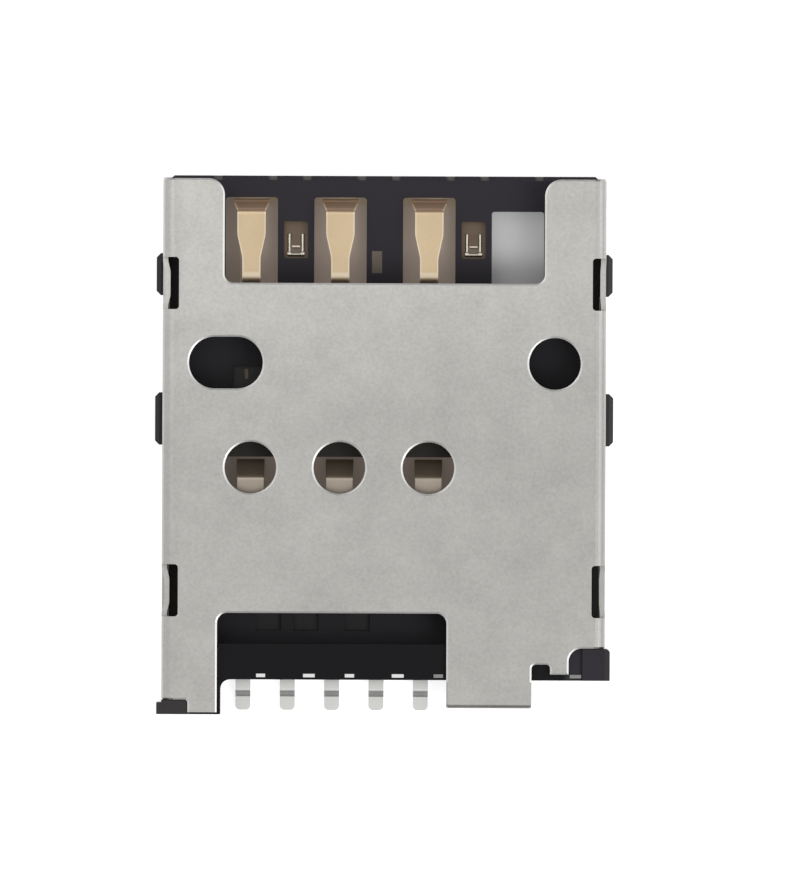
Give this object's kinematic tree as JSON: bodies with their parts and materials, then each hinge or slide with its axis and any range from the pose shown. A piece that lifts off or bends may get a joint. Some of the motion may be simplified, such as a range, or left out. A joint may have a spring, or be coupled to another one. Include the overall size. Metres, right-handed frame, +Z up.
{
  "type": "sim card connector",
  "caption": "Low surface-mount connector for a micro SIM card: a notched steel shell over a black moulded base with gold spring contacts and rear solder tails.",
  "frame": {"origin": "middle of the part's outline at the board plane, z = 0", "axes": "+Z up from the board, +Y towards the side where the card goes in, +X to the right when looking down with the card side away"},
  "size_m": [0.0132, 0.0154, 0.0015],
  "materials": {
    "moulded_plastic": "matte",
    "shell_steel": "satin",
    "contact_plating": "satin",
    "tie_bar_tin": "satin"
  },
  "bodies": {
    "root": {"housing": "moulded_plastic", "shell": "shell_steel", "contact_c1_supply": "contact_plating", "contact_c2_reset": "contact_plating", "contact_c3_clock": "contact_plating", "contact_c5_ground": "contact_plating", "contact_c6_program": "contact_plating", "contact_c7_data": "contact_plating", "tie_bar_stubs": "tie_bar_tin"}
  },
  "joints": []
}
